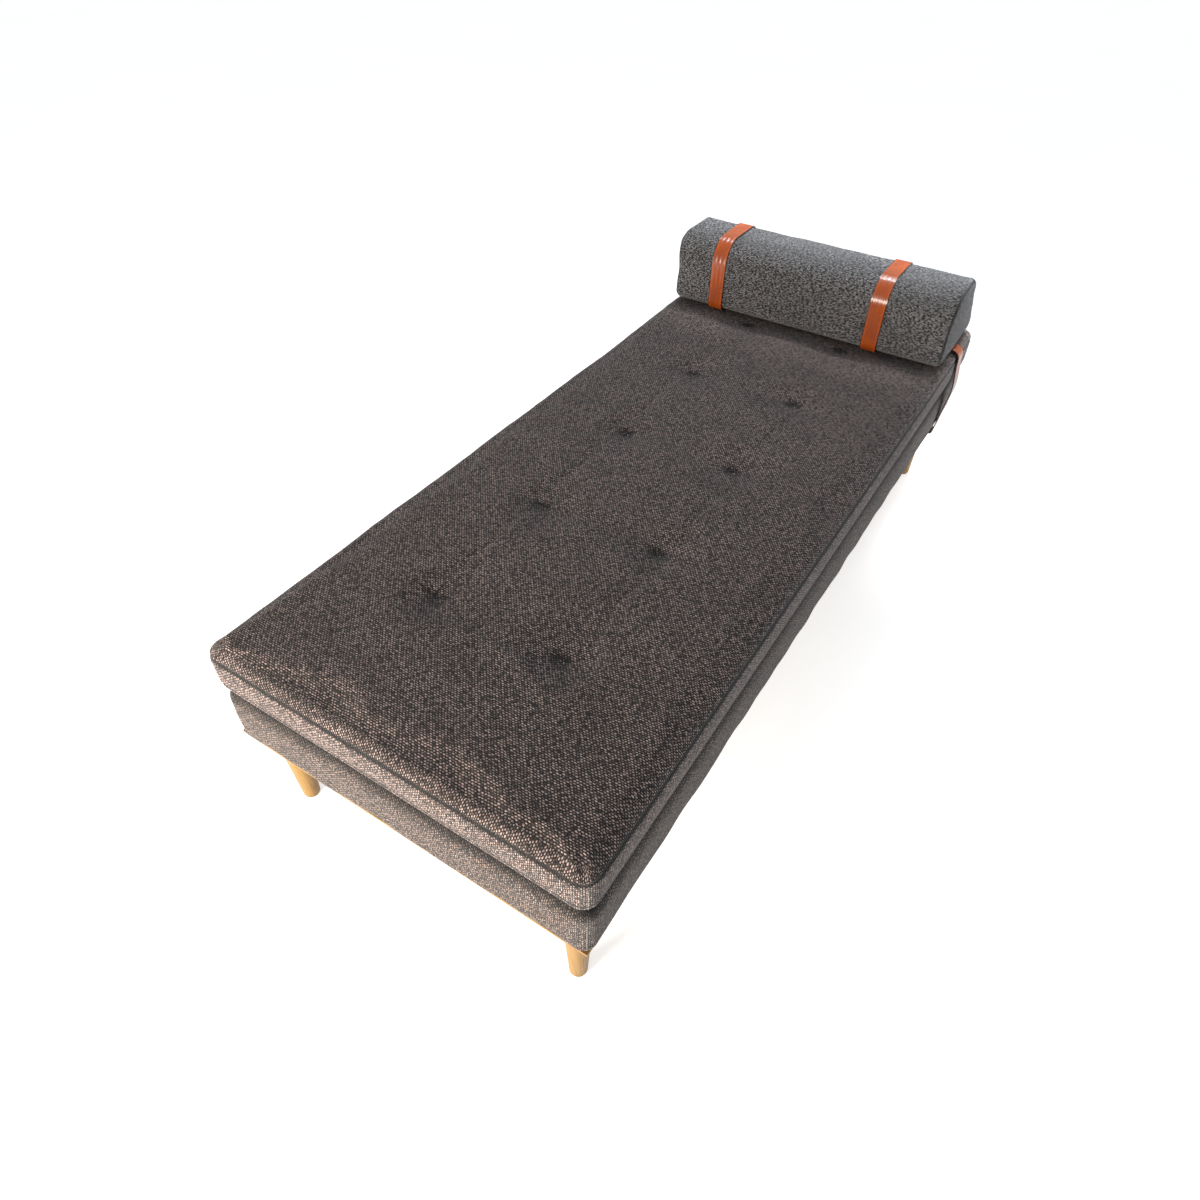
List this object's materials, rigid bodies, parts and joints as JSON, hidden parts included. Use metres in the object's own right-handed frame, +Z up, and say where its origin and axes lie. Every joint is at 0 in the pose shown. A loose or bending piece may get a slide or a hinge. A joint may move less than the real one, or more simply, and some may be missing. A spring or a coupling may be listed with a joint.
{
  "type": "daybed",
  "caption": "Upholstered box daybed on tapered oak legs, with a loose tufted mattress and a wedge bolster held by leather straps to a belt round the bed.",
  "frame": {"origin": "on the floor, under the middle of the base", "axes": "+X along the daybed towards the bolster at the head end, +Y across it away from the near side, +Z up"},
  "size_m": [1.988, 0.832, 0.6714],
  "materials": {
    "pine": "matte",
    "beech": "satin",
    "oak": "satin",
    "zinc_steel": "satin",
    "felt": "matte",
    "dust_cloth": "matte",
    "wadding": "matte",
    "foam": "matte",
    "base_cloth": "matte",
    "mattress_cloth": "matte",
    "bolster_cloth": "matte",
    "zip_cloth": "matte",
    "zip_metal": "satin",
    "twine": "matte",
    "disc_plastic": "matte",
    "leather": "satin",
    "buckle_metal": "satin"
  },
  "bodies": {
    "bed": {"side_rail_near": "pine", "side_rail_far": "pine", "end_rail_foot": "pine", "end_rail_head": "pine", "cross_beams": "pine", "slat_ledges": "pine", "corner_blocks": "pine", "slats": "beech", "rim_near": "oak", "rim_far": "oak", "rim_foot": "oak", "rim_head": "oak", "leg_foot_near": "oak", "leg_foot_far": "oak", "leg_head_near": "oak", "leg_head_far": "oak", "leg_bolts": "zinc_steel", "leg_inserts": "zinc_steel", "leg_glides": "felt", "dust_cover": "dust_cloth", "base_padding": "wadding", "base_cover": "base_cloth", "mattress_core": "foam", "mattress_cover": "mattress_cloth", "mattress_zip": "zip_cloth", "tuft_ties": "twine", "tuft_discs": "disc_plastic"},
    "bolster_unit": {"bolster_core": "foam", "bolster_cover": "bolster_cloth", "bolster_strap_near": "leather", "bolster_strap_far": "leather", "cross_belt": "leather", "strap_near_buckle": "buckle_metal", "strap_far_buckle": "buckle_metal", "belt_buckle": "buckle_metal", "strap_near_keeper": "leather", "strap_far_keeper": "leather", "belt_keeper": "leather"},
    "zip_slider": {"mattress_zip_slider": "zip_metal"},
    "strap_near_roller": {"strap_near_roller": "buckle_metal"},
    "strap_near_prong": {"strap_near_prong": "buckle_metal"},
    "strap_far_roller": {"strap_far_roller": "buckle_metal"},
    "strap_far_prong": {"strap_far_prong": "buckle_metal"},
    "belt_roller": {"belt_roller": "buckle_metal"},
    "belt_prong": {"belt_prong": "buckle_metal"}
  },
  "joints": [
    {"name": "bolster_slide", "type": "slide", "parent": "bed", "child": "bolster_unit", "axis": [1, 0, 0], "range_m": [-1.6, 0.03]},
    {"name": "zip_slide", "type": "slide", "parent": "bed", "child": "zip_slider", "axis": [0, 1, 0], "range_m": [0, 0.69]},
    {"name": "strap_near_roller_spin", "type": "hinge", "parent": "bolster_unit", "child": "strap_near_roller", "pos_m": [0.95121, -0.197, 0.53339], "axis": [0, 1, 0], "continuous": true},
    {"name": "strap_near_prong_lift", "type": "hinge", "parent": "bolster_unit", "child": "strap_near_prong", "pos_m": [0.93061, -0.197, 0.55529], "axis": [0, -1, 0], "range_deg": [0, 14]},
    {"name": "strap_far_roller_spin", "type": "hinge", "parent": "bolster_unit", "child": "strap_far_roller", "pos_m": [0.95121, 0.255, 0.53339], "axis": [0, 1, 0], "continuous": true},
    {"name": "strap_far_prong_lift", "type": "hinge", "parent": "bolster_unit", "child": "strap_far_prong", "pos_m": [0.93061, 0.255, 0.55529], "axis": [0, -1, 0], "range_deg": [0, 14]},
    {"name": "belt_roller_spin", "type": "hinge", "parent": "bolster_unit", "child": "belt_roller", "pos_m": [0.825, -0.09, 0.2233], "axis": [1, 0, 0], "continuous": true},
    {"name": "belt_prong_lift", "type": "hinge", "parent": "bolster_unit", "child": "belt_prong", "pos_m": [0.825, -0.12, 0.2253], "axis": [-1, 0, 0], "range_deg": [0, 14]}
  ]
}
